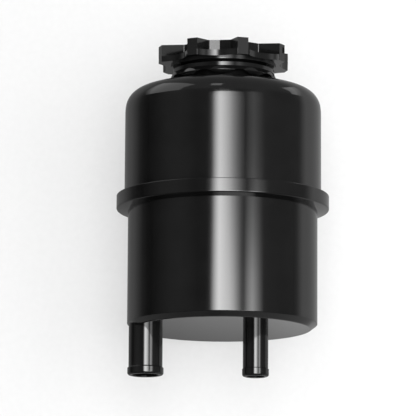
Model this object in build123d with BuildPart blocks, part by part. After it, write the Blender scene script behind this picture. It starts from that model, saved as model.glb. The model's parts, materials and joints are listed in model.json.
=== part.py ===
"""Remote hydraulic reservoir: two welded shells, star cap with dipstick, return filter and hose spigots.

Millimetres, +Z up. The origin lies on the can's axis, halfway up the cylinder that a clamp band grips.
The side that faces -Y is the front: the suction spigot is at its left, the return spigot at its right.
Heights in names that end in _H are measured up from the outside of the floor.
"""
from build123d import *
import os
from math import cos, radians, sin

os.makedirs("parts", exist_ok=True)

# ---------------------------------------------------------------- driving dimensions
FLOOR_Z = -29.1           # outside of the flat floor

# lower shell
LOWER_R = 45.0            # clamp surface
LOWER_H = 57.15           # floor to the underside of the band
WALL = 2.8
FLOOR_T = 2.8
FLOOR_BEVEL = (3.2, 2.4)  # width and height of the bevel between floor and wall
FLOOR_TURN_R = 1.5        # rounding between floor and bevel
BEVEL_EDGE_R = 0.4
FLOOR_INNER_R = 2.0       # rounding between floor and wall inside
LIP_R = 0.99              # rounding of the wall inside the band
RIM_R = 44.0              # rim that plugs into the band
RIM_H = 5.0
WELD_GAP = 0.05           # radial gap between the two shells

# upper shell
BAND_R = 50.5
BAND_H = 6.6
BAND_SKIRT_T = 1.0        # fall of the band's underside from its rim to the wall
BAND_LOWER_EDGE_R = 0.7
BAND_UPPER_EDGE_R = 0.3
UPPER_FOOT_R = 46.75
UPPER_HEAD_R = 46.7
UPPER_WALL = 3.2
SHOULDER_H = 103.0        # start of the shoulder
SHOULDER_ARCS = [(28.3, 7.7), (9.5, 61.2), (17.5, 17.1)]   # radius and turn of each arc

# filler neck and its collar
NECK_R = 20.5
NECK_BORE_R = 18.3
NECK_TOP_H = 124.2
NECK_FOOT_R = 25.5
NECK_FOOT_T = 2.2
GASKET_T = 1.2
COLLAR_R = 24.4
COLLAR_BULGE_R = 25.3
COLLAR_SKIRT_R = 21.8
COLLAR_TOP_H = 124.45
COLLAR_BAND_H = 122.55    # underside of the collar's plain band
COLLAR_LOW_H = 118.8
COLLAR_FLARE_T = 2.0      # height over which the collar swells below its plain band
COLLAR_RIM_R = 0.25       # rounding of the collar's widest edge
COLLAR_SEAT_H = 121.0     # top of the gasket under the collar
COLLAR_FOOT_R = 23.9      # inner edge of the rounded underside
UNDERSIDE_START = (-0.25, -1)   # direction in which the underside leaves the widest edge
COLLAR_EDGE_R = 0.2
LOBES = 9
LOBE_START = -92.4        # polar angle of the lobe at the front
ARCH_HALF_W = 7.2         # arched gap between two lobes
ARCH_POINTS = [(-4.6, 0.7), (-2.2, 1.7), (0, 1.85), (2.2, 1.7), (4.6, 0.7)]

# screw thread between neck and cap
THREAD_PITCH = 4.0
THREAD_DEPTH = 1.0
PLUG_R = 15.9
CONTACT_GAP = 0.3         # space between pieces that move apart
SLIDE_GAP = 0.06          # radial running clearance of a guided stem

# cap
DISC_LOW_H = 126.6
DISC_T = 2.8
LUGS = 8
LUG_START = -73.2         # polar angle of the first lug
LUG_W = 5.3
LUG_END_R = 31.5
LUG_DROP = 1.15           # fall of a lug's top from hub to end
DISC_WAIST_R = 27.1       # disc halfway between two lugs
HUB_WAIST_R = 18.87       # hub halfway between two lugs, where its two flats meet
HUB_ROOT_R = 20.2         # hub beside a lug
HUB_TOP_H = 135.8
STEP_R = 25.2
STEP_LOW_H = 125.7
HUB_CAVITY_R = 17.8
HUB_CAVITY_TOP_H = 133.4
NOTCH_LUG = 1             # lug with the locking notch in its end
NOTCH_LOW_H = 130.6
NOTCH_H = 2.75
NOTCH_DEPTH = 1.8
NOTCH_OFFSET = 0.3        # the notch starts this far from the lug's middle plane
NOTCH_WALL = 0.5          # left between the notch and the lug's rear side
ROOT_R = 1.0              # rounding between hub and lugs, seen in plan
DISC_CORNER_R = 0.3
TOP_RECESS_R = (5.0, 15.0)
TOP_RECESS_T = 0.8
BREATHER_XY = (9.5, 0.0)
BREATHER_R = 0.9
PLUG_LOW_H = 112.0
PLUG_TOP_H = 128.3
PLUG_BORE_R = 13.8
GROOVE_R = (18.6, 20.46)  # gasket groove in the underside of the cap
GROOVE_T = 1.9            # holds the gasket's upper half and the slip ring
GASKET_TOP_H = 126.2

# suction vent in the plug
VENT_PLATE_H = (119.0, 121.2)
VENT_PORT_R = 2.2
VENT_DISC_R = 4.6
VENT_DISC_T = 1.2
VENT_STEM_R = 1.2
VENT_STEM_OVER = 0.6      # stem above the retainer
RETAINER_H = (126.5, 128.0)
RETAINER_HOLE_R = 1.6
RETAINER_HOLES_AT_R = 8.5
RETAINER_HOLES = 6

# hose spigots: centre, tube, bead and bore radii, length below the floor
SUPPLY_XY = (-36.05, -5.2)
SUPPLY_R = 8.0
SUPPLY_BEAD_R = 8.55
SUPPLY_BORE_R = 6.15
SUPPLY_PORT_R = 5.3       # narrower where it passes the floor
SUPPLY_PILOT_R = 6.9
SUPPLY_PILOT_T = 1.6
SUPPLY_LEN = 22.75
SUPPLY_CONE_H = -1.5      # the bore narrows from here to the port
RETURN_XY = (15.8, 0.0)
RETURN_R = 6.0
RETURN_BEAD_R = 6.35
RETURN_BORE_R = 4.25
RETURN_LEN = 22.5
RETURN_FLANGE_R = 9.5     # flange that sits on the floor inside
RETURN_FLANGE_H = 4.6
STUB_H = 12.0             # top of the return tail inside the can
BEAD_LEN = 3.9
BEAD_EDGE_R = 1.15
MOUTH_EDGE_R = 0.4

# return filter, standing over the return spigot
STANDPIPE_R = 7.2
STANDPIPE_TOP_H = 18.0
GROMMET_R = 9.2
GROMMET_T = 2.6
FILTER_R = 23.5
FILTER_LOW_H = 9.0
FILTER_TOP_H = 45.6
END_CAP_T = 1.6
END_CAP_RIM = 4.0
END_CAP_SHEET = 0.8
CORE_R = 10.5
CORE_T = 1.1
CORE_HOLE_R = 1.5
CORE_HOLE_ROWS = 5
CORE_HOLE_PITCH = 6.1
CORE_HOLE_LOW = 4.5       # lowest row above the lower end cap
PLEATS = 36
PLEAT_OUTER_R = 22.3
PLEAT_INNER_R = 11.4
PLEAT_T = 1.2             # radial thickness of the folded band
SEAT_R = 4.5
BYPASS_R = 6.4
BYPASS_T = 1.2
CAGE_R = 9.0
CAGE_T = 0.8
CAGE_TOP_H = 56.0
CAGE_ROOF_H = 54.4
CAGE_WINDOW = (8.0, 5.0)
STEM_R = 1.4
STEM_OVER = 1.0           # stem above the cage

# plate that holds the filter down
BRIDGE_T = 1.5
BRIDGE_W = 34.0

# springs: mean radius, wire radius, turns
VENT_COIL = (3.0, 0.25, 4)
BYPASS_COIL = (4.4, 0.4, 4.5)
FILTER_COIL = (12.5, 0.9, 4)
COIL_END_GAP = 0.05

# dipstick, riveted to a bar across the plug's mouth
DIPSTICK_LOW_H = 72.0
DIPSTICK_TOP_H = 117.0
DIPSTICK_W = 6.0
DIPSTICK_T = 1.2
DIPSTICK_TIP_R = 2.4
MARK_H = (80.0, 92.0)
MARK_DEPTH = 0.8
MARK_T = 1.0
BAR_W = 5.0
BAR_H = (113.0, 117.0)
RIVET_R = 1.0
RIVET_H = 115.0

# heights that follow
BAND_TOP_H = LOWER_H + BAND_H
RIM_TOP_H = LOWER_H + RIM_H
BRIDGE_TOP_H = RIM_TOP_H + BRIDGE_T
SOCKET_R = RIM_R + WELD_GAP
SKIRT_R = LOWER_R + WELD_GAP
BORE_R = LOWER_R - WALL
FLAT_R = LOWER_R - FLOOR_BEVEL[0]


def level(height):
    """Z of a height above the outside of the floor."""
    return FLOOR_Z + height


def polar(radius, angle):
    """Point in plan at a radius and an angle in degrees."""
    return (radius * cos(radians(angle)), radius * sin(radians(angle)))


def at(xy, height):
    """Horizontal plane with its origin above a point of the floor."""
    return Plane((xy[0], xy[1], level(height)))


def upright(xy=(0.0, 0.0)):
    """Vertical plane through xy for profiles: x is the radius, y the height above the floor."""
    return Plane((xy[0], xy[1], FLOOR_Z), x_dir=(1, 0, 0), z_dir=(0, -1, 0))


def spin_axis(xy=(0.0, 0.0)):
    """Vertical axis through a point in plan."""
    return Axis((xy[0], xy[1], 0), (0, 0, 1))


def rims(radius):
    """Round edges of one radius in the part being built, from the lowest up."""
    round_edges = edges().filter_by(GeomType.CIRCLE)
    return round_edges.filter_by(lambda e: abs(e.radius - radius) < 0.01).sort_by(Axis.Z)


def turned(outline, xy=(0.0, 0.0)):
    """Solid of revolution from (radius, height) corners."""
    with BuildPart() as solid:
        with BuildSketch(upright(xy)):
            with BuildLine():
                Polyline(*outline, close=True)
            make_face()
        revolve(axis=spin_axis(xy))
    return solid


def ring(inner_r, outer_r, low, high, xy=(0.0, 0.0)):
    """Plain ring between two heights."""
    return turned([(inner_r, low), (outer_r, low), (outer_r, high), (inner_r, high)], xy)


def coil(mean_r, wire_r, low, high, turns, xy=(0.0, 0.0)):
    """Round-wire compression spring that fills the space between two heights."""
    rise = high - low - 2 * (wire_r + COIL_END_GAP)
    with BuildPart() as spring:
        with BuildLine(at(xy, low + wire_r + COIL_END_GAP)) as path:
            Helix(pitch=rise / turns, height=rise, radius=mean_r)
        with BuildSketch(Plane(origin=path.line @ 0, z_dir=path.line % 0)):
            Circle(wire_r)
        sweep(is_frenet=True)
    return spring


def thread(root_r, outward, low, turns):
    """Single-start thread ridge on a cylinder, outward for a male thread and inward for a female one."""
    side = 1 if outward else -1
    bury, root_half, crest_half = 0.15, 0.9, 0.35
    with BuildPart() as ridge:
        with BuildLine(at((0, 0), low)) as path:
            Helix(pitch=THREAD_PITCH, height=THREAD_PITCH * turns, radius=root_r)
        with BuildSketch(Plane(origin=path.line @ 0, x_dir=(side, 0, 0), z_dir=path.line % 0)):
            with BuildLine():
                Polyline((-bury, -root_half), (THREAD_DEPTH, -crest_half), (THREAD_DEPTH, crest_half),
                         (-bury, root_half), close=True)
            make_face()
        sweep(is_frenet=True)
    return ridge.part


# ---------------------------------------------------------------- shells
SEAL_LOW_H = LOWER_H + 1.8
SEAL_TOP_H = SEAL_LOW_H + 1.6
SEAL_GROOVE_R = RIM_R - 0.8

with BuildPart() as lower_shell:
    with BuildSketch(upright()):
        with BuildLine():
            Polyline(
                (0, 0), (FLAT_R, 0), (LOWER_R, FLOOR_BEVEL[1]), (LOWER_R, LOWER_H), (RIM_R, LOWER_H),
                (RIM_R, SEAL_LOW_H),
                (SEAL_GROOVE_R, SEAL_LOW_H), (SEAL_GROOVE_R, SEAL_TOP_H), (RIM_R, SEAL_TOP_H),
                (RIM_R, RIM_TOP_H), (BORE_R, RIM_TOP_H), (BORE_R, FLOOR_T), (0, FLOOR_T), close=True,
            )
        make_face()
    revolve(axis=Axis.Z)
    fillet(rims(BORE_R)[0], FLOOR_INNER_R)
    fillet(rims(FLAT_R)[0], FLOOR_TURN_R)
    fillet(rims(LOWER_R)[0], BEVEL_EDGE_R)
    fillet(rims(LOWER_R)[-1], LIP_R)
    with BuildSketch(at(RETURN_XY, 0)):
        Circle(RETURN_R)
    extrude(amount=FLOOR_T, mode=Mode.SUBTRACT)
    with BuildSketch(at(SUPPLY_XY, 0)):
        Circle(SUPPLY_PILOT_R)
    extrude(amount=SUPPLY_PILOT_T, mode=Mode.SUBTRACT)
    with BuildSketch(at(SUPPLY_XY, 0)):
        Circle(SUPPLY_PORT_R)
    extrude(amount=FLOOR_T + FLOOR_INNER_R, mode=Mode.SUBTRACT)

shell_seal = ring(SEAL_GROOVE_R, SOCKET_R, SEAL_LOW_H, SEAL_TOP_H)


def shoulder(start_r, inset):
    """Tangent arcs and a flat cone from the top of the wall to the neck; gives the cone's end and slope."""
    start, heading = Vector(start_r, SHOULDER_H), Vector(0, 1)
    for radius, turn in SHOULDER_ARCS:
        arc = JernArc(start=start, tangent=heading, radius=radius - inset, arc_size=turn)
        start, heading = arc @ 1, arc % 1
    slope = heading.Y / heading.X
    brink = (NECK_R, start.Y + slope * (NECK_R - start.X))
    Line(start, brink)
    return brink, slope


with BuildPart() as upper_shell:
    with BuildSketch(upright()):
        with BuildLine():
            inner_r = UPPER_HEAD_R - UPPER_WALL
            (outer_brink, cone_slope) = shoulder(UPPER_HEAD_R, 0)
            (inner_brink, cone_slope) = shoulder(inner_r, UPPER_WALL)
            Line(outer_brink, inner_brink)
            Polyline(
                (inner_r, SHOULDER_H), (inner_r, BRIDGE_TOP_H), (SOCKET_R, BRIDGE_TOP_H),
                (SOCKET_R, LOWER_H), (SKIRT_R, LOWER_H), (SKIRT_R, LOWER_H - BAND_SKIRT_T),
                (BAND_R, LOWER_H), (BAND_R, BAND_TOP_H), (UPPER_FOOT_R, BAND_TOP_H),
                (UPPER_HEAD_R, SHOULDER_H),
            )
        make_face()
    revolve(axis=Axis.Z)
    fillet(rims(BAND_R)[0], BAND_LOWER_EDGE_R)
    fillet(rims(BAND_R)[-1], BAND_UPPER_EDGE_R)


# ---------------------------------------------------------------- filler neck, gasket and collar
def cone_height(brink, radius):
    """Height of the shoulder's flat cone at a radius, from its end at the neck."""
    return brink[1] + cone_slope * (radius - NECK_R)


foot_top_h = inner_brink[1] - GASKET_T
foot_low_h = foot_top_h - NECK_FOOT_T

with BuildPart() as filler_neck:
    with BuildSketch(upright()):
        with BuildLine():
            Polyline(
                (NECK_BORE_R, foot_low_h), (NECK_FOOT_R, foot_low_h), (NECK_FOOT_R, foot_top_h),
                (NECK_R, foot_top_h), (NECK_R, NECK_TOP_H), (NECK_BORE_R, NECK_TOP_H), close=True,
            )
        make_face()
    revolve(axis=Axis.Z)
    add(thread(NECK_BORE_R, False, foot_low_h + 2.5, 2.0))

neck_gasket = turned([
    (NECK_R, foot_top_h), (NECK_FOOT_R, foot_top_h), (NECK_FOOT_R, cone_height(inner_brink, NECK_FOOT_R)),
    (NECK_R, inner_brink[1]),
])

collar_gasket = turned([
    outer_brink, (COLLAR_SKIRT_R, cone_height(outer_brink, COLLAR_SKIRT_R)),
    (COLLAR_SKIRT_R, COLLAR_SEAT_H), (NECK_R, COLLAR_SEAT_H),
])

with BuildPart() as neck_collar:
    with BuildSketch(upright()):
        with BuildLine():
            crown = Polyline(
                (COLLAR_SKIRT_R, COLLAR_LOW_H), (COLLAR_SKIRT_R, COLLAR_SEAT_H), (NECK_R, COLLAR_SEAT_H),
                (NECK_R, COLLAR_TOP_H), (COLLAR_R, COLLAR_TOP_H), (COLLAR_R, COLLAR_BAND_H),
                (COLLAR_BULGE_R, COLLAR_BAND_H - COLLAR_FLARE_T),
            )
            TangentArc(crown @ 1, (COLLAR_FOOT_R, COLLAR_LOW_H), tangent=UNDERSIDE_START)
            Line((COLLAR_FOOT_R, COLLAR_LOW_H), crown @ 0)
        make_face()
    revolve(axis=Axis.Z)
    fillet(rims(COLLAR_R)[-1], COLLAR_EDGE_R)
    fillet(rims(COLLAR_BULGE_R), COLLAR_RIM_R)
    for lobe in range(LOBES):
        gap_angle = LOBE_START + (lobe + 0.5) * 360 / LOBES
        outward = (*polar(1, gap_angle), 0)
        sideways = (*polar(1, gap_angle + 90), 0)
        start = (*polar(NECK_R, gap_angle), level(COLLAR_LOW_H))
        with BuildSketch(Plane(start, x_dir=sideways, z_dir=outward)):
            with BuildLine():
                arch = Spline((-ARCH_HALF_W, -0.05), *ARCH_POINTS, (ARCH_HALF_W, -0.05))
                Polyline(arch @ 0, (-ARCH_HALF_W, -1.5), (ARCH_HALF_W, -1.5), arch @ 1)
            make_face()
        extrude(amount=COLLAR_BULGE_R - NECK_R + 2, mode=Mode.SUBTRACT)


# ---------------------------------------------------------------- cap
def star(corner_r, waist_r, half_width, flats=False):
    """Closed outline in plan: an edge across each lug, and a hollow arc or two flats from lug to lug."""
    spread = 360 / LUGS
    for lug in range(LUGS):
        angle = LUG_START + lug * spread
        radial, across = Vector(*polar(1, angle)), Vector(*polar(1, angle + 90))
        next_radial = Vector(*polar(1, angle + spread))
        next_across = Vector(*polar(1, angle + spread + 90))
        leaving = radial * corner_r + across * half_width
        arriving = next_radial * corner_r - next_across * half_width
        Line(radial * corner_r - across * half_width, leaving)
        waist = Vector(*polar(waist_r, angle + spread / 2))
        if flats:
            Polyline(leaving, waist, arriving)
        else:
            ThreePointArc(leaving, waist, arriving)


with BuildPart() as cap_shell:
    with BuildSketch(at((0, 0), DISC_LOW_H)) as disc_outline:
        with BuildLine():
            star(LUG_END_R, DISC_WAIST_R, LUG_W / 2)
        make_face()
        fillet(disc_outline.vertices(), DISC_CORNER_R)
    extrude(amount=DISC_T)
    with BuildSketch(at((0, 0), DISC_LOW_H + DISC_T)) as grip_outline:
        with BuildLine():
            star(HUB_ROOT_R, HUB_WAIST_R, LUG_W / 2, flats=True)
        make_face()
        for lug in range(LUGS):
            middle_r = (HUB_WAIST_R + LUG_END_R) / 2 - 1
            with Locations(Location((*polar(middle_r, LUG_START + lug * 360 / LUGS), 0),
                                    (0, 0, LUG_START + lug * 360 / LUGS))):
                Rectangle(2 * (LUG_END_R - middle_r), LUG_W)
        roots = grip_outline.vertices().filter_by(lambda v: abs(Vector(v).length - HUB_ROOT_R) < 1.0)
        fillet(roots, ROOT_R)
    extrude(amount=HUB_TOP_H - DISC_LOW_H - DISC_T)
    with BuildSketch(upright()):
        with BuildLine():
            Polyline((HUB_WAIST_R, HUB_TOP_H), (LUG_END_R + 1, HUB_TOP_H - LUG_DROP),
                     (LUG_END_R + 1, HUB_TOP_H + 1), (HUB_WAIST_R, HUB_TOP_H + 1), close=True)
        make_face()
    revolve(axis=Axis.Z, mode=Mode.SUBTRACT)
    with BuildSketch(at((0, 0), STEP_LOW_H)):
        Circle(STEP_R)
    extrude(amount=DISC_LOW_H - STEP_LOW_H)
    with BuildSketch(at((0, 0), STEP_LOW_H)):
        Circle(HUB_CAVITY_R)
    extrude(amount=HUB_CAVITY_TOP_H - STEP_LOW_H, mode=Mode.SUBTRACT)
    with BuildSketch(at((0, 0), STEP_LOW_H)):
        Circle(GROOVE_R[1])
        Circle(GROOVE_R[0], mode=Mode.SUBTRACT)
    extrude(amount=GROOVE_T, mode=Mode.SUBTRACT)
    with BuildSketch(at((0, 0), HUB_TOP_H)):
        Circle(TOP_RECESS_R[1])
        Circle(TOP_RECESS_R[0], mode=Mode.SUBTRACT)
    extrude(amount=-TOP_RECESS_T, mode=Mode.SUBTRACT)
    with BuildSketch(at(BREATHER_XY, HUB_CAVITY_TOP_H)):
        Circle(BREATHER_R)
    extrude(amount=HUB_TOP_H - HUB_CAVITY_TOP_H, mode=Mode.SUBTRACT)
    notch_angle = LUG_START + NOTCH_LUG * 360 / LUGS
    notch_w = LUG_W / 2 - NOTCH_OFFSET - NOTCH_WALL
    notch_start = (*polar(LUG_END_R, notch_angle), level(NOTCH_LOW_H))
    with BuildSketch(Plane(notch_start, x_dir=(*polar(1, notch_angle), 0))):
        with Locations((0, NOTCH_OFFSET + notch_w / 2)):
            Rectangle(2 * NOTCH_DEPTH, notch_w)
    extrude(amount=NOTCH_H, mode=Mode.SUBTRACT)

rivet_plane = Plane((0, -BAR_W / 2, level(RIVET_H)), x_dir=(1, 0, 0), z_dir=(0, 1, 0))
with BuildPart() as cap_plug:
    with BuildSketch(upright()):
        with BuildLine():
            Polyline(
                (PLUG_BORE_R, PLUG_LOW_H), (PLUG_R, PLUG_LOW_H), (PLUG_R, STEP_LOW_H),
                (HUB_CAVITY_R, STEP_LOW_H), (HUB_CAVITY_R, PLUG_TOP_H), (PLUG_BORE_R, PLUG_TOP_H),
                (PLUG_BORE_R, VENT_PLATE_H[1]),
                (VENT_PORT_R, VENT_PLATE_H[1]), (VENT_PORT_R, VENT_PLATE_H[0]),
                (PLUG_BORE_R, VENT_PLATE_H[0]),
                close=True,
            )
        make_face()
    revolve(axis=Axis.Z)
    add(thread(PLUG_R, True, PLUG_LOW_H + 2.0, 2.0))
    with BuildSketch(at((0, 0), BAR_H[0])):
        Rectangle(2 * PLUG_BORE_R + 1, BAR_W)
        Rectangle(DIPSTICK_W, DIPSTICK_T, mode=Mode.SUBTRACT)
    extrude(amount=BAR_H[1] - BAR_H[0])
    with BuildSketch(rivet_plane):
        Circle(RIVET_R)
    extrude(amount=BAR_W, mode=Mode.SUBTRACT)

RING_R = (GROOVE_R[0] + SLIDE_GAP, GROOVE_R[1] - SLIDE_GAP)
cap_gasket = ring(*RING_R, NECK_TOP_H + CONTACT_GAP, GASKET_TOP_H)
slip_ring = ring(*RING_R, GASKET_TOP_H + CONTACT_GAP, STEP_LOW_H + GROOVE_T - CONTACT_GAP)

with BuildPart() as vent_retainer:
    with BuildSketch(at((0, 0), RETAINER_H[0])):
        Circle(PLUG_BORE_R)
        Circle(VENT_STEM_R + SLIDE_GAP, mode=Mode.SUBTRACT)
        with PolarLocations(RETAINER_HOLES_AT_R, RETAINER_HOLES):
            Circle(RETAINER_HOLE_R, mode=Mode.SUBTRACT)
    extrude(amount=RETAINER_H[1] - RETAINER_H[0])

vent_low_h = VENT_PLATE_H[1] + CONTACT_GAP
vent_disc_top_h = vent_low_h + VENT_DISC_T
vent_stem_top_h = RETAINER_H[1] + VENT_STEM_OVER
vent_valve = turned([
    (0, vent_low_h), (VENT_DISC_R, vent_low_h), (VENT_DISC_R, vent_disc_top_h),
    (VENT_STEM_R, vent_disc_top_h),
    (VENT_STEM_R, vent_stem_top_h), (0, vent_stem_top_h),
])
coil_r, wire_r, turns = VENT_COIL
vent_spring = coil(coil_r, wire_r, vent_disc_top_h, RETAINER_H[0], turns)

with BuildPart() as dipstick_blade:
    with BuildSketch(Plane.XZ.offset(-DIPSTICK_T / 2)) as blade_outline:
        with Locations((0, level((DIPSTICK_LOW_H + DIPSTICK_TOP_H) / 2))):
            Rectangle(DIPSTICK_W, DIPSTICK_TOP_H - DIPSTICK_LOW_H)
        fillet(blade_outline.vertices().group_by(Axis.Z)[0], DIPSTICK_TIP_R)
        with Locations((0, level(RIVET_H))):
            Circle(RIVET_R, mode=Mode.SUBTRACT)
        for mark_h in MARK_H:
            with Locations((-DIPSTICK_W / 2, level(mark_h)), (DIPSTICK_W / 2, level(mark_h))):
                Rectangle(2 * MARK_DEPTH, MARK_T, mode=Mode.SUBTRACT)
    extrude(amount=DIPSTICK_T)

with BuildPart() as dipstick_rivet:
    with BuildSketch(rivet_plane):
        Circle(RIVET_R)
    extrude(amount=BAR_W)


# ---------------------------------------------------------------- hose spigots
def spigot(xy, tube_r, bead_r, bore_r, length, shank):
    """Hose tail with an end bead; shank lists the (radius, height) corners from the tube's top."""
    step = bead_r - tube_r
    with BuildPart() as tail:
        with BuildSketch(upright(xy)):
            with BuildLine():
                Polyline(
                    (bore_r, -length), (bead_r, -length), (bead_r, BEAD_LEN - length - step),
                    (tube_r, BEAD_LEN - length), *shank, close=True,
                )
            make_face()
        revolve(axis=spin_axis(xy))
        fillet(rims(bead_r)[0], BEAD_EDGE_R)
        fillet(rims(bore_r)[0], MOUTH_EDGE_R)
    return tail


return_spigot = spigot(RETURN_XY, RETURN_R, RETURN_BEAD_R, RETURN_BORE_R, RETURN_LEN, [
    (RETURN_R, FLOOR_T), (RETURN_FLANGE_R, FLOOR_T), (RETURN_FLANGE_R, RETURN_FLANGE_H),
    (RETURN_R, RETURN_FLANGE_H), (RETURN_R, STUB_H), (RETURN_BORE_R, STUB_H),
])
supply_tube = spigot(SUPPLY_XY, SUPPLY_R, SUPPLY_BEAD_R, SUPPLY_BORE_R, SUPPLY_LEN, [
    (SUPPLY_R, FLOOR_BEVEL[1]), (SUPPLY_PORT_R, FLOOR_BEVEL[1]), (SUPPLY_PORT_R, 0),
    (SUPPLY_BORE_R, SUPPLY_CONE_H),
])
with BuildPart() as supply_spigot:
    add(supply_tube.part)
    add(lower_shell.part, mode=Mode.SUBTRACT)

# ---------------------------------------------------------------- return filter
ELEMENT_LOW_H = FILTER_LOW_H + END_CAP_T
ELEMENT_TOP_H = FILTER_TOP_H - END_CAP_T
END_CAP_INNER_R = FILTER_R - END_CAP_SHEET

return_standpipe = ring(RETURN_R, STANDPIPE_R, RETURN_FLANGE_H, STANDPIPE_TOP_H, RETURN_XY)
filter_grommet = ring(STANDPIPE_R, GROMMET_R, FILTER_LOW_H, FILTER_LOW_H + GROMMET_T, RETURN_XY)
filter_bottom_cap = turned([
    (GROMMET_R, FILTER_LOW_H), (FILTER_R, FILTER_LOW_H), (FILTER_R, FILTER_LOW_H + END_CAP_RIM),
    (END_CAP_INNER_R, FILTER_LOW_H + END_CAP_RIM), (END_CAP_INNER_R, ELEMENT_LOW_H),
    (GROMMET_R, ELEMENT_LOW_H),
], RETURN_XY)
filter_top_cap = turned([
    (SEAT_R, ELEMENT_TOP_H), (END_CAP_INNER_R, ELEMENT_TOP_H),
    (END_CAP_INNER_R, FILTER_TOP_H - END_CAP_RIM),
    (FILTER_R, FILTER_TOP_H - END_CAP_RIM), (FILTER_R, FILTER_TOP_H), (SEAT_R, FILTER_TOP_H),
], RETURN_XY)

with BuildPart() as filter_core:
    with BuildSketch(at(RETURN_XY, ELEMENT_LOW_H)):
        Circle(CORE_R)
        Circle(CORE_R - CORE_T, mode=Mode.SUBTRACT)
    extrude(amount=ELEMENT_TOP_H - ELEMENT_LOW_H)
    for row in range(CORE_HOLE_ROWS):
        hole_z = level(ELEMENT_LOW_H + CORE_HOLE_LOW + row * CORE_HOLE_PITCH)
        for angle in range(0, 180, 45):
            start = Vector(RETURN_XY[0], RETURN_XY[1], hole_z) - Vector(*polar(CORE_R + 1, angle))
            with BuildSketch(Plane(start, z_dir=(*polar(1, angle), 0))):
                Circle(CORE_HOLE_R)
            extrude(amount=2 * CORE_R + 2, mode=Mode.SUBTRACT)

with BuildPart() as filter_element:
    fold = 180 / PLEATS
    outside, inside = [], []
    for step in range(2 * PLEATS):
        fold_r = PLEAT_OUTER_R if step % 2 else PLEAT_INNER_R + PLEAT_T
        outside.append(polar(fold_r, step * fold))
        inside.append(polar(fold_r - PLEAT_T, step * fold))
    with BuildSketch(at(RETURN_XY, ELEMENT_LOW_H)):
        with BuildLine():
            Polyline(*outside, close=True)
        make_face()
        with BuildLine():
            Polyline(*inside, close=True)
        make_face(mode=Mode.SUBTRACT)
    extrude(amount=ELEMENT_TOP_H - ELEMENT_LOW_H)

with BuildPart() as bypass_cage:
    with BuildSketch(upright(RETURN_XY)):
        with BuildLine():
            Polyline(
                (CAGE_R - CAGE_T, FILTER_TOP_H), (CAGE_R, FILTER_TOP_H), (CAGE_R, CAGE_TOP_H),
                (STEM_R + SLIDE_GAP, CAGE_TOP_H), (STEM_R + SLIDE_GAP, CAGE_ROOF_H),
                (CAGE_R - CAGE_T, CAGE_ROOF_H), close=True,
            )
        make_face()
    revolve(axis=spin_axis(RETURN_XY))
    for angle in (0, 90):
        start = Vector(RETURN_XY[0], RETURN_XY[1], level((FILTER_TOP_H + CAGE_ROOF_H) / 2))
        start = start - Vector(*polar(CAGE_R + 1, angle))
        with BuildSketch(Plane(start, x_dir=(*polar(1, angle + 90), 0), z_dir=(*polar(1, angle), 0))):
            Rectangle(*CAGE_WINDOW)
        extrude(amount=2 * CAGE_R + 2, mode=Mode.SUBTRACT)

bypass_low_h = FILTER_TOP_H + CONTACT_GAP
bypass_disc_top_h = bypass_low_h + BYPASS_T
bypass_valve = turned([
    (0, bypass_low_h), (BYPASS_R, bypass_low_h), (BYPASS_R, bypass_disc_top_h), (STEM_R, bypass_disc_top_h),
    (STEM_R, CAGE_TOP_H + STEM_OVER), (0, CAGE_TOP_H + STEM_OVER),
], RETURN_XY)
coil_r, wire_r, turns = BYPASS_COIL
bypass_spring = coil(coil_r, wire_r, bypass_disc_top_h, CAGE_ROOF_H, turns, RETURN_XY)
coil_r, wire_r, turns = FILTER_COIL
filter_spring = coil(coil_r, wire_r, FILTER_TOP_H, RIM_TOP_H, turns, RETURN_XY)

with BuildPart() as filter_bridge:
    with BuildSketch(at((0, 0), RIM_TOP_H)):
        Circle(RIM_R)
        with Locations((RETURN_XY[0], 0)):
            Rectangle(BRIDGE_W, 2 * BAND_R, mode=Mode.INTERSECT)
    extrude(amount=BRIDGE_T)

# ---------------------------------------------------------------- output
PIECES = {
    "lower_shell": lower_shell, "upper_shell": upper_shell, "shell_seal": shell_seal,
    "filter_bridge": filter_bridge, "filler_neck": filler_neck, "neck_gasket": neck_gasket,
    "collar_gasket": collar_gasket, "neck_collar": neck_collar, "supply_spigot": supply_spigot,
    "return_spigot": return_spigot, "return_standpipe": return_standpipe, "filter_grommet": filter_grommet,
    "filter_bottom_cap": filter_bottom_cap, "filter_core": filter_core, "filter_element": filter_element,
    "filter_top_cap": filter_top_cap, "filter_spring": filter_spring, "bypass_cage": bypass_cage,
    "bypass_valve": bypass_valve, "bypass_spring": bypass_spring, "cap_shell": cap_shell,
    "cap_plug": cap_plug, "cap_gasket": cap_gasket, "slip_ring": slip_ring,
    "vent_retainer": vent_retainer, "vent_valve": vent_valve, "vent_spring": vent_spring,
    "dipstick_blade": dipstick_blade, "dipstick_rivet": dipstick_rivet,
}
for name, piece in PIECES.items():
    piece.part.label = name
    export_step(piece.part, f"parts/{name}.step")
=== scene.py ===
"""Looks of the hydraulic reservoir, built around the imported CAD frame. Metres, +Z up along the can's axis.

The camera stands in front (-Y) and a little below, so it sees the underside of the can. The floor is the pale
board behind the can, on which the can would lie.
"""
import json
from math import cos, pi, radians, sin

import bpy
from mathutils import Matrix, Vector


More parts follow.
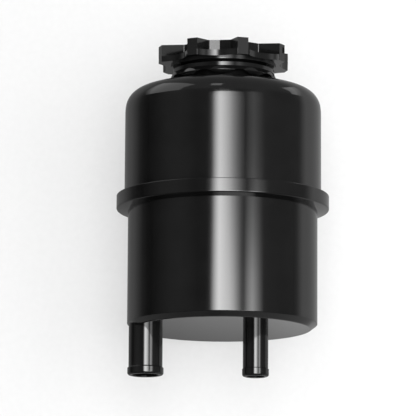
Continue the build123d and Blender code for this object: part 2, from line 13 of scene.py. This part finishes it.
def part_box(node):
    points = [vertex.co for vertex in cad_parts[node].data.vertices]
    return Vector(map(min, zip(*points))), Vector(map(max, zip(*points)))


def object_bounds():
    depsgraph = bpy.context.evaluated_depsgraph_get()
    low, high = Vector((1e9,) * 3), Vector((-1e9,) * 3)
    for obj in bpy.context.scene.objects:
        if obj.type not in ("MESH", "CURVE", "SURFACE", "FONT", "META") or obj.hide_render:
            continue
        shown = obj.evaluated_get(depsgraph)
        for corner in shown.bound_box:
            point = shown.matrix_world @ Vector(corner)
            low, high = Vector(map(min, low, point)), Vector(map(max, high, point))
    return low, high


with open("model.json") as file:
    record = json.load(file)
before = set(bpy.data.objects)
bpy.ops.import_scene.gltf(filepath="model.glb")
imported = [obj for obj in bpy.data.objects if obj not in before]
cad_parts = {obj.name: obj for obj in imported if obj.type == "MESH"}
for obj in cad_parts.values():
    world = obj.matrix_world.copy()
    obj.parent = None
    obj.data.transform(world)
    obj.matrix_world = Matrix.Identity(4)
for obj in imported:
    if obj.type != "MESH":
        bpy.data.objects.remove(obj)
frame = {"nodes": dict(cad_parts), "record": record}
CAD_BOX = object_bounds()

# ---------------------------------------------------------------- camera
SENSOR_MM = 36.0
LENS_MM = 345.5
CLIP = (0.05, 20.0)
LOOK_AT = Vector((-0.00701, 0.0, 0.02911))
DISTANCE = 1.8968
PITCH = 10.028             # degrees that the camera looks up
ROLL = 0.305               # degrees that it leans to its left

# ---------------------------------------------------------------- studio
FLOOR_GAP = 0.004          # between the widest part of the can and the floor behind it
FLOOR_HALF = 1.6           # half its width, and half its height
FLOOR_TONE = 0.176         # grey of its matt surface
FLOOR_GLOW = 0.58          # light of its own
FLOOR_EDGE = (0.17, 0.27)  # reflections lose the floor between these heights
# painted light and shade on the floor, seen only in reflections: how brightly they show it, by its place
# along X in metres
FLOOR_PAINTED_LIGHT = ((-0.6, 0.04), (-0.35, 0.06), (-0.22, 0.13), (-0.153, 0.29), (-0.115, 0.36), (-0.07, 0.28),
             (-0.02, 0.32), (0.037, 0.45), (0.07, 0.44), (0.115, 0.48), (0.16, 0.57), (0.21, 0.7),
             (0.4, 0.3), (0.6, 0.2))
# and painted contact shade and light below the can: how much more of it they show there, by height in metres
FLOOR_PAINTED_SHADE = ((-0.06, 0.8), (-0.052, 1.0), (-0.046, 1.35), (-0.031, 0.94), (-0.025, 1.0))

# brightness of the room at eye level, by the direction in degrees: 0 is behind the viewer, 90 to the right
ROOM = ((-180, 0.40), (-160, 0.33), (-135, 0.33), (-124, 0.24), (-114, 0.12), (-105, 0.07), (-92, 0.06),
        (-79, 0.14), (-67, 0.22), (-53, 0.24), (-41, 0.18), (-31, 0.10), (20, 0.10), (48, 0.31), (61, 0.22),
        (76, 0.18), (93, 0.19), (103, 0.32), (114, 0.66), (122, 0.60), (133, 0.47), (160, 0.47), (180, 0.42))
CEILING = 0.33
CEILING_FROM = (20, 35)    # elevations in degrees over which the walls give way to the ceiling
NADIR = 0.01
NADIR_FROM = (-35, -60)    # and over which they fade towards the ground

FRONT_REACH = 0.8          # from the can to the lights in front of it
PANEL_REACH = 1.3          # and to the panels at its sides and overhead

NOISE_SPAN = (0.3, 0.7)    # nearly all of a noise lies between these values


def make_camera():
    """Long lens, tilted up and rolled a little."""
    pitch, roll = radians(PITCH), radians(ROLL)
    forward = Vector((0, cos(pitch), sin(pitch)))
    level_up = Vector((0, -sin(pitch), cos(pitch)))
    level_right = Vector((1, 0, 0))
    right = level_right * cos(roll) + level_up * sin(roll)
    up = level_up * cos(roll) - level_right * sin(roll)
    place = LOOK_AT - forward * DISTANCE
    data = bpy.data.cameras.new("camera")
    data.sensor_width = SENSOR_MM
    data.lens = LENS_MM
    data.clip_start, data.clip_end = CLIP
    camera = bpy.data.objects.new("camera", data)
    bpy.context.scene.collection.objects.link(camera)
    camera.matrix_world = Matrix((
        (right.x, up.x, -forward.x, place.x),
        (right.y, up.y, -forward.y, place.y),
        (right.z, up.z, -forward.z, place.z),
        (0, 0, 0, 1),
    ))
    bpy.context.scene.camera = camera


# ---------------------------------------------------------------- lights
def direction(azimuth, elevation):
    """Unit vector from the can; azimuth 0 points at the viewer (-Y) and grows towards +X."""
    a, e = radians(azimuth), radians(elevation)
    return Vector((sin(a) * cos(e), -cos(a) * cos(e), sin(e)))


def shade_light(data, across, rise):
    """Brightness of a light from its left edge to its right (across) and from its foot to its top (rise)."""
    data.use_nodes = True
    tree = data.node_tree
    emission = tree.nodes["Emission"]
    x, y, _ = components(tree, tree.nodes.new("ShaderNodeNewGeometry").outputs["Parametric"])
    if across:
        tree.links.new(profile(tree, x, across), emission.inputs["Color"])
    if rise:
        tree.links.new(profile(tree, y, rise), emission.inputs["Strength"])


def softbox(name, azimuth, elevation, distance, size, radiance, across=(), rise=(),
            glossy=True, diffuse=True):
    """Rectangular light that faces the can; across and rise are profiles over 0 to 1 of its size."""
    data = bpy.data.lights.new(name, "AREA")
    data.shape = "RECTANGLE"
    data.size, data.size_y = size
    data.energy = radiance * size[0] * size[1] * pi
    if across or rise:
        shade_light(data, across, rise)
    light = bpy.data.objects.new(name, data)
    bpy.context.scene.collection.objects.link(light)
    towards = direction(azimuth, elevation)
    light.location = Vector((0, 0, LOOK_AT.z)) + towards * distance
    light.rotation_mode = "QUATERNION"
    light.rotation_quaternion = towards.to_track_quat("Z", "Y")
    light.visible_glossy = glossy
    light.visible_diffuse = diffuse
    light.visible_camera = False


def light_front():
    """A tall softbox, a fainter one below it, a low light for the bevel, and a strip further right."""
    softbox("key", azimuth=3.0, elevation=-1.4, distance=FRONT_REACH, size=(0.614, 0.74), radiance=17.6,
            across=[(0.0, 0.0), (0.095, 0.03), (0.143, 0.11), (0.262, 0.7), (0.32, 0.95), (0.36, 1.0),
                    (0.476, 0.79), (0.595, 0.55), (0.69, 0.33), (0.81, 0.16), (0.93, 0.06), (1.0, 0.03)],
            rise=[(0.0, 1.0), (0.635, 1.0), (0.673, 0.98), (0.73, 0.9), (0.757, 0.86), (1.0, 0.78)])
    softbox("low", azimuth=3.0, elevation=-7.8, distance=FRONT_REACH, size=(0.614, 0.56), radiance=5.0,
            across=[(0.071, 0.0), (0.143, 0.56), (0.262, 0.32), (0.381, 0.0), (0.5, 0.37), (0.62, 0.88),
                    (0.714, 1.0), (0.833, 0.59), (0.95, 0.12), (1.0, 0.0)],
            rise=[(0.795, 1.0), (0.84, 0.82), (0.889, 0.42), (0.964, 0.05), (1.0, 0.0)])
    softbox("under", azimuth=10.0, elevation=-31.5, distance=FRONT_REACH, size=(0.85, 0.17), radiance=10.0,
            across=[(0.14, 0.0), (0.2, 0.3), (0.3, 0.9), (0.5, 0.9), (0.65, 0.8), (0.9, 0.6), (1.0, 0.0)],
            diffuse=False)
    softbox("strip", azimuth=35.6, elevation=-1.4, distance=FRONT_REACH, size=(0.369, 0.74), radiance=7.5,
            across=[(0.0, 0.03), (0.115, 0.2), (0.31, 0.75), (0.48, 1.0), (0.69, 0.55), (0.92, 0.1),
                    (1.0, 0.02)],
            rise=[(0.6, 1.0), (0.635, 0.8), (0.673, 0.43), (0.73, 0.19), (0.757, 0.135), (1.0, 0.135)])


def light_around():
    """Soft panels for the dome and the cap, and a wash on matt surfaces that shows in no reflection."""
    softbox("panel_left", azimuth=-86.0, elevation=44.0, distance=PANEL_REACH, size=(1.25, 0.75),
            radiance=1.2)
    softbox("panel_right", azimuth=110.0, elevation=35.0, distance=PANEL_REACH, size=(0.7, 0.5),
            radiance=1.6)
    softbox("spot", azimuth=-10.0, elevation=51.0, distance=PANEL_REACH, size=(0.22, 0.26), radiance=2.2)
    softbox("wash", azimuth=38.0, elevation=0.0, distance=1.4, size=(1.5, 1.0), radiance=4.5, glossy=False)


# ---------------------------------------------------------------- room and floor
def make_room():
    """White to the eye; in reflections a dim room with an even ceiling and hardly any light from below."""
    world = bpy.data.worlds.new("room")
    bpy.context.scene.world = world
    world.use_nodes = True
    tree = world.node_tree
    seen = tree.nodes["Background"]
    seen.inputs["Color"].default_value = (1, 1, 1, 1)
    x, y, z = components(tree, tree.nodes.new("ShaderNodeTexCoord").outputs["Generated"])
    turn = arithmetic(tree, "ARCTAN2", x, arithmetic(tree, "MULTIPLY", y, -1.0))
    level = profile(tree, turn, [(radians(angle), brightness) for angle, brightness in ROOM])
    level = blended(tree, mapped(tree, z, sines(CEILING_FROM)), level, CEILING)
    level = blended(tree, mapped(tree, z, sines(NADIR_FROM)), level, NADIR)
    reflected = tree.nodes.new("ShaderNodeBackground")
    tree.links.new(level, reflected.inputs["Color"])
    camera_ray = tree.nodes.new("ShaderNodeLightPath").outputs["Is Camera Ray"]
    shown = either(tree, camera_ray, reflected, seen)
    tree.links.new(shown, tree.nodes["World Output"].inputs["Surface"])


def floor_board():
    """Pale matt board with a glow of its own; reflections show only the part near the can, with painted light
    and shade on it.
    """
    material, tree, shader = principled("floor_board", (FLOOR_TONE,) * 3, 0.9)
    shader.inputs["Specular IOR Level"].default_value = 0.0
    where = coordinates(tree)
    x, _, z = components(tree, where)
    glossy_ray = tree.nodes.new("ShaderNodeLightPath").outputs["Is Glossy Ray"]
    grain = mapped(tree, noise(tree, where, size_mm=3.0, detail=2.0), NOISE_SPAN, (0.99, 1.01))
    # painted light and shade: in reflections the board's tone and glow are dimmed by place, as a pool of
    # light and a contact shade under the can
    painted_light_and_shade = arithmetic(tree, "MULTIPLY", profile(tree, x, FLOOR_PAINTED_LIGHT), profile(tree, z, FLOOR_PAINTED_SHADE))
    level = blended(tree, glossy_ray, grain, painted_light_and_shade)
    for strength, socket in ((FLOOR_TONE, "Base Color"), (FLOOR_GLOW, "Emission Color")):
        tree.links.new(arithmetic(tree, "MULTIPLY", level, strength), shader.inputs[socket])
    shader.inputs["Emission Strength"].default_value = 1.0
    back = tree.nodes.new("ShaderNodeNewGeometry").outputs["Backfacing"]
    lost = arithmetic(tree, "MULTIPLY", glossy_ray, mapped(tree, z, FLOOR_EDGE))
    clear = tree.nodes.new("ShaderNodeBsdfTransparent")
    shown = either(tree, arithmetic(tree, "MAXIMUM", back, lost), shader, clear)
    tree.links.new(shown, tree.nodes["Material Output"].inputs["Surface"])
    return material


def make_floor():
    """Upright square behind the can, seen only from its front."""
    y = CAD_BOX[1].y + FLOOR_GAP
    h = FLOOR_HALF
    mesh = bpy.data.meshes.new("floor")
    mesh.from_pydata([(-h, y, -h), (h, y, -h), (h, y, h), (-h, y, h)], [], [(0, 1, 2, 3)])
    mesh.materials.append(floor_board())
    floor = bpy.data.objects.new("floor", mesh)
    bpy.context.scene.collection.objects.link(floor)


# ---------------------------------------------------------------- node helpers
def principled(name, colour, roughness):
    """New material with its Principled shader; colour and roughness may be overridden by nodes."""
    material = bpy.data.materials.new(name)
    material.use_nodes = True
    tree = material.node_tree
    shader = tree.nodes["Principled BSDF"]
    shader.inputs["Base Color"].default_value = (*colour, 1)
    shader.inputs["Roughness"].default_value = roughness
    return material, tree, shader


def coordinates(tree, stretch=(1, 1, 1)):
    """Object coordinates in metres, stretched along an axis for drawn or combed patterns."""
    where = tree.nodes.new("ShaderNodeTexCoord").outputs["Object"]
    if stretch == (1, 1, 1):
        return where
    mapping = tree.nodes.new("ShaderNodeMapping")
    mapping.inputs["Scale"].default_value = stretch
    tree.links.new(where, mapping.inputs["Vector"])
    return mapping.outputs["Vector"]


def components(tree, vector):
    """X, Y and Z of a vector."""
    node = tree.nodes.new("ShaderNodeSeparateXYZ")
    tree.links.new(vector, node.inputs[0])
    return node.outputs


def noise(tree, where, size_mm, detail, roughness=0.5):
    """Cloudy value from 0 to 1, with patches about size_mm across."""
    node = tree.nodes.new("ShaderNodeTexNoise")
    node.inputs["Scale"].default_value = 1000.0 / size_mm
    node.inputs["Detail"].default_value = detail
    node.inputs["Roughness"].default_value = roughness
    tree.links.new(where, node.inputs["Vector"])
    return node.outputs["Fac"]


def ramp(tree, value, stops):
    """Colour ramp from (position, colour) stops."""
    node = tree.nodes.new("ShaderNodeValToRGB")
    elements = node.color_ramp.elements
    while len(elements) < len(stops):
        elements.new(0.5)
    for element, (position, colour) in zip(elements, stops):
        element.position = position
        element.color = (*colour, 1)
    tree.links.new(value, node.inputs["Fac"])
    return node.outputs["Color"]


def profile(tree, value, stops):
    """Brightness from (place, brightness) stops, whose places are in the units of value."""
    low, high = stops[0][0], stops[-1][0]
    greys = [((place - low) / (high - low), (brightness,) * 3) for place, brightness in stops]
    return ramp(tree, mapped(tree, value, (low, high)), greys)


def feed(tree, socket, value):
    """Gives a socket a plain number or another node's output."""
    if isinstance(value, float):
        socket.default_value = value
    else:
        tree.links.new(value, socket)


def arithmetic(tree, operation, first, second):
    """Result of a Math node."""
    node = tree.nodes.new("ShaderNodeMath")
    node.operation = operation
    feed(tree, node.inputs[0], first)
    feed(tree, node.inputs[1], second)
    return node.outputs[0]


def blended(tree, share, first, second):
    """Value that goes from first to second as share goes from 0 to 1."""
    node = tree.nodes.new("ShaderNodeMix")
    node.data_type = "FLOAT"
    feed(tree, node.inputs[0], share)
    feed(tree, node.inputs[2], first)
    feed(tree, node.inputs[3], second)
    return node.outputs[0]


def either(tree, share, first, second):
    """Shader that is first where share is 0 and second where share is 1."""
    node = tree.nodes.new("ShaderNodeMixShader")
    tree.links.new(share, node.inputs["Fac"])
    tree.links.new(first.outputs[0], node.inputs[1])
    tree.links.new(second.outputs[0], node.inputs[2])
    return node.outputs[0]


def mapped(tree, value, source, target=(0, 1)):
    """Value moved from one range to another, and held at its ends."""
    node = tree.nodes.new("ShaderNodeMapRange")
    node.inputs["From Min"].default_value, node.inputs["From Max"].default_value = source
    node.inputs["To Min"].default_value, node.inputs["To Max"].default_value = target
    tree.links.new(value, node.inputs["Value"])
    return node.outputs["Result"]


def sines(angles):
    """Heights on the unit sphere that belong to elevations in degrees."""
    return [sin(radians(angle)) for angle in angles]


def bumped(tree, shader, layers):
    """Bump from (height, depth in micrometres) layers, coarse ones first."""
    normal = None
    for height, depth_um in layers:
        node = tree.nodes.new("ShaderNodeBump")
        node.inputs["Distance"].default_value = depth_um * 1e-6
        tree.links.new(height, node.inputs["Height"])
        if normal:
            tree.links.new(normal, node.inputs["Normal"])
        normal = node.outputs["Normal"]
    tree.links.new(normal, shader.inputs["Normal"])


# ---------------------------------------------------------------- materials
def black_plastic(name, tones, roughness, peel_um, grain_um):
    """Moulded black plastic: cloudy tone, orange peel, fine grain and faint polish marks along the pull."""
    dark, light = ((tone,) * 3 for tone in tones)
    material, tree, shader = principled(name, dark, roughness[0])
    shader.inputs["IOR"].default_value = 1.47
    where = coordinates(tree)
    clouds = noise(tree, where, size_mm=14.0, detail=4.0, roughness=0.6)
    tree.links.new(ramp(tree, clouds, [(0.35, dark), (0.68, light)]), shader.inputs["Base Color"])
    rubbed = noise(tree, coordinates(tree, (1, 1, 0.12)), size_mm=1.6, detail=3.0)
    tree.links.new(mapped(tree, rubbed, NOISE_SPAN, roughness), shader.inputs["Roughness"])
    peel = noise(tree, where, size_mm=5.0, detail=1.0)
    grain = noise(tree, where, size_mm=0.35, detail=2.0)
    bumped(tree, shader, [(peel, peel_um), (grain, grain_um)])
    return material


def rubber():
    """Matt nitrile rubber with a dusty bloom; its near-black tone is darker than rubber, partly painted shade
    for the recess it sits in.
    """
    material, tree, shader = principled("nitrile_rubber", (0.001, 0.001, 0.001), 0.6)
    shader.inputs["Specular IOR Level"].default_value = 0.04
    where = coordinates(tree)
    bloom = noise(tree, where, size_mm=3.0, detail=5.0, roughness=0.65)
    # near-black tones: the rubber's own black, made darker still as painted shade in the recess under the
    # neck collar
    tone = ramp(tree, bloom, [(0.4, (0.0008, 0.0008, 0.0008)), (0.75, (0.0019, 0.0019, 0.0018))])
    tree.links.new(tone, shader.inputs["Base Color"])
    tree.links.new(mapped(tree, bloom, NOISE_SPAN, (0.5, 0.72)), shader.inputs["Roughness"])
    bumped(tree, shader, [(noise(tree, where, size_mm=0.4, detail=3.0), 10.0)])
    return material


def natural_nylon(name, light, dark):
    """Uncoloured nylon or low-friction plastic, slightly see-through, with flow clouds."""
    material, tree, shader = principled(name, light, 0.4)
    shader.inputs["Subsurface Weight"].default_value = 0.15
    shader.inputs["Subsurface Radius"].default_value = (0.0015, 0.0012, 0.0009)
    where = coordinates(tree)
    clouds = noise(tree, coordinates(tree, (1, 1, 0.4)), size_mm=6.0, detail=4.0)
    tree.links.new(ramp(tree, clouds, [(0.3, dark), (0.7, light)]), shader.inputs["Base Color"])
    tree.links.new(mapped(tree, clouds, NOISE_SPAN, (0.32, 0.48)), shader.inputs["Roughness"])
    peel = noise(tree, where, size_mm=2.5, detail=2.0)
    grain = noise(tree, where, size_mm=0.3, detail=2.0)
    bumped(tree, shader, [(peel, 6.0), (grain, 3.0)])
    return material


def filter_paper():
    """Resin-soaked filter paper: fibres, resin blotches and embossed dimples."""
    material, tree, shader = principled("filter_paper", (0.62, 0.47, 0.25), 0.8)
    fibres = noise(tree, coordinates(tree, (1, 1, 0.25)), size_mm=0.5, detail=6.0, roughness=0.7)
    blotches = noise(tree, coordinates(tree), size_mm=7.0, detail=3.0)
    tone = ramp(tree, blended(tree, 0.4, fibres, blotches),
                [(0.3, (0.46, 0.32, 0.14)), (0.55, (0.63, 0.47, 0.24)), (0.8, (0.75, 0.6, 0.36))])
    tree.links.new(tone, shader.inputs["Base Color"])
    tree.links.new(mapped(tree, fibres, NOISE_SPAN, (0.65, 0.9)), shader.inputs["Roughness"])
    bumped(tree, shader, [(blotches, 50.0), (fibres, 40.0)])
    return material


def zinc_steel():
    """Zinc-plated pressed steel: faint yellow passivation, drawing lines and small spangle."""
    material, tree, shader = principled("zinc_steel", (0.56, 0.56, 0.53), 0.35)
    shader.inputs["Metallic"].default_value = 1.0
    where = coordinates(tree)
    voronoi = tree.nodes.new("ShaderNodeTexVoronoi")
    voronoi.inputs["Scale"].default_value = 450.0
    tree.links.new(where, voronoi.inputs["Vector"])
    spangle = voronoi.outputs["Distance"]
    tarnish = noise(tree, where, size_mm=9.0, detail=4.0, roughness=0.6)
    tone = ramp(tree, tarnish,
                [(0.3, (0.60, 0.60, 0.58)), (0.6, (0.55, 0.54, 0.48)), (0.8, (0.52, 0.48, 0.38))])
    tree.links.new(tone, shader.inputs["Base Color"])
    tree.links.new(mapped(tree, spangle, (0, 1), (0.26, 0.46)), shader.inputs["Roughness"])
    lines = noise(tree, coordinates(tree, (0.1, 0.1, 1)), size_mm=0.25, detail=3.0)
    bumped(tree, shader, [(spangle, 8.0), (lines, 6.0)])
    return material


def bright_wire():
    """Drawn spring wire with die lines and a trace of oil."""
    material, tree, shader = principled("bright_wire", (0.6, 0.6, 0.6), 0.25)
    shader.inputs["Metallic"].default_value = 1.0
    die_lines = noise(tree, coordinates(tree, (0.3, 0.3, 1)), size_mm=0.2, detail=4.0)
    oil = noise(tree, coordinates(tree), size_mm=4.0, detail=3.0)
    tone = ramp(tree, oil, [(0.3, (0.62, 0.62, 0.63)), (0.75, (0.48, 0.46, 0.43))])
    tree.links.new(tone, shader.inputs["Base Color"])
    tree.links.new(mapped(tree, die_lines, NOISE_SPAN, (0.18, 0.34)), shader.inputs["Roughness"])
    bumped(tree, shader, [(die_lines, 4.0)])
    return material


def dipstick_yellow():
    """Moulded yellow blade, stained by oil towards its tip."""
    material, tree, shader = principled("dipstick_yellow", (0.75, 0.55, 0.06), 0.4)
    low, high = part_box("dipstick_blade")
    where = coordinates(tree)
    _, _, z = components(tree, where)
    wobble = noise(tree, where, size_mm=5.0, detail=3.0)
    height = mapped(tree, z, (low.z, high.z))
    tone = ramp(tree, blended(tree, 0.3, height, wobble),
                [(0.2, (0.5, 0.31, 0.03)), (0.5, (0.7, 0.5, 0.05)), (0.8, (0.8, 0.6, 0.07))])
    tree.links.new(tone, shader.inputs["Base Color"])
    tree.links.new(mapped(tree, wobble, NOISE_SPAN, (0.3, 0.48)), shader.inputs["Roughness"])
    bumped(tree, shader, [(noise(tree, where, size_mm=0.5, detail=2.0), 5.0)])
    return material


def dress_nodes():
    """Gives every CAD node the material of its slot."""
    looks = {
        "shell_plastic": black_plastic("body_black", tones=(0.0022, 0.0032), roughness=(0.08, 0.10),
                                       peel_um=3.0, grain_um=0.3),
        "spigot_plastic": black_plastic("spigot_black", tones=(0.0022, 0.0032), roughness=(0.08, 0.10),
                                        peel_um=2.0, grain_um=0.2),
        "cap_plastic": black_plastic("cap_black", tones=(0.0026, 0.0038), roughness=(0.11, 0.15),
                                     peel_um=2.0, grain_um=0.8),
        "inner_plastic": natural_nylon("natural_nylon", (0.36, 0.35, 0.32), (0.30, 0.29, 0.26)),
        "slip_plastic": natural_nylon("slip_white", (0.82, 0.81, 0.78), (0.74, 0.73, 0.69)),
        "seal_rubber": rubber(),
        "filter_paper": filter_paper(),
        "filter_steel": zinc_steel(),
        "spring_steel": bright_wire(),
        "dipstick_plastic": dipstick_yellow(),
    }
    for part in frame["record"]["subparts"]:
        node = frame["nodes"][part["node"]]
        for slot in node.material_slots:
            slot.material = looks[part["material_slot"]]


make_camera()
make_room()
make_floor()
light_front()
light_around()
dress_nodes()
bpy.context.scene.view_settings.view_transform = "Standard"
